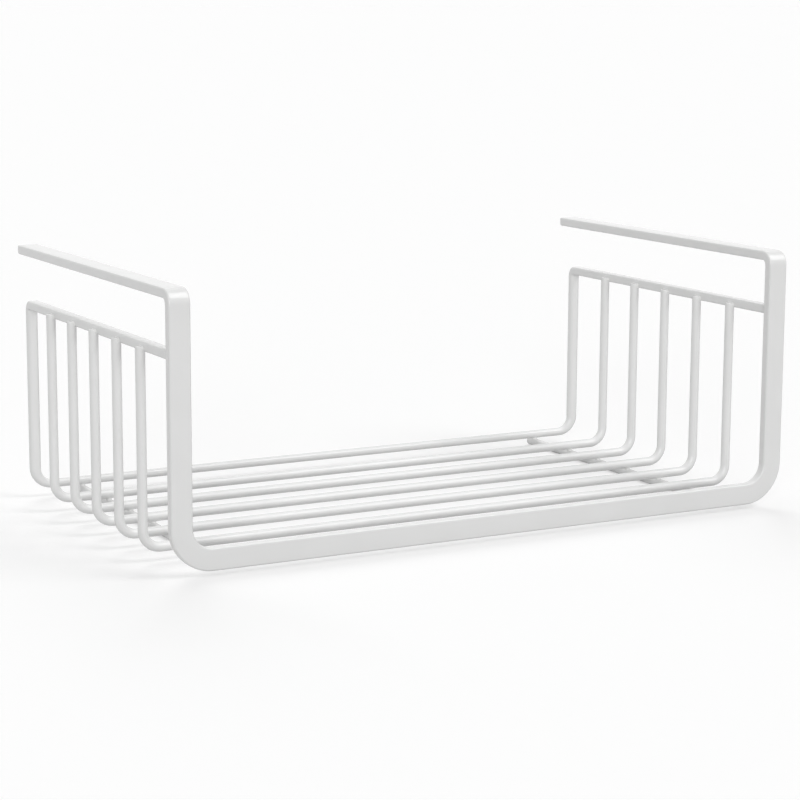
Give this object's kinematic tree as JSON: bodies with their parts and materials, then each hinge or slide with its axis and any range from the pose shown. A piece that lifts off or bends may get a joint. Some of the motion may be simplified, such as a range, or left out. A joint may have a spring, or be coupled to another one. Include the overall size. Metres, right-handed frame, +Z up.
{
  "type": "under-shelf hanging basket",
  "caption": "Open wire basket that hangs under a shelf board: two flat arms lie on the board, a flat bar is the front frame, and bent round wires form the sides and floor.",
  "frame": {"origin": "on the surface the basket stands on, under the middle of its bounding box", "axes": "+X to the right seen from the front, +Y from the front frame to the back, +Z up"},
  "size_m": [0.3612, 0.212, 0.1398],
  "materials": {
    "white_coat": "satin",
    "weld_coat": "satin"
  },
  "bodies": {
    "root": {"front_frame": "white_coat", "rear_frame": "white_coat", "u_wire_1": "white_coat", "u_wire_2": "white_coat", "u_wire_3": "white_coat", "u_wire_4": "white_coat", "u_wire_5": "white_coat", "cross_wire_left": "white_coat", "cross_wire_right": "white_coat", "weld_rail_left": "weld_coat", "weld_cross_left_0": "weld_coat", "weld_cross_left_1": "weld_coat", "weld_end_left_1": "weld_coat", "weld_cross_left_2": "weld_coat", "weld_end_left_2": "weld_coat", "weld_cross_left_3": "weld_coat", "weld_end_left_3": "weld_coat", "weld_cross_left_4": "weld_coat", "weld_end_left_4": "weld_coat", "weld_cross_left_5": "weld_coat", "weld_end_left_5": "weld_coat", "weld_rail_right": "weld_coat", "weld_cross_right_0": "weld_coat", "weld_cross_right_1": "weld_coat", "weld_end_right_1": "weld_coat", "weld_cross_right_2": "weld_coat", "weld_end_right_2": "weld_coat", "weld_cross_right_3": "weld_coat", "weld_end_right_3": "weld_coat", "weld_cross_right_4": "weld_coat", "weld_end_right_4": "weld_coat", "weld_cross_right_5": "weld_coat", "weld_end_right_5": "weld_coat"}
  },
  "joints": []
}
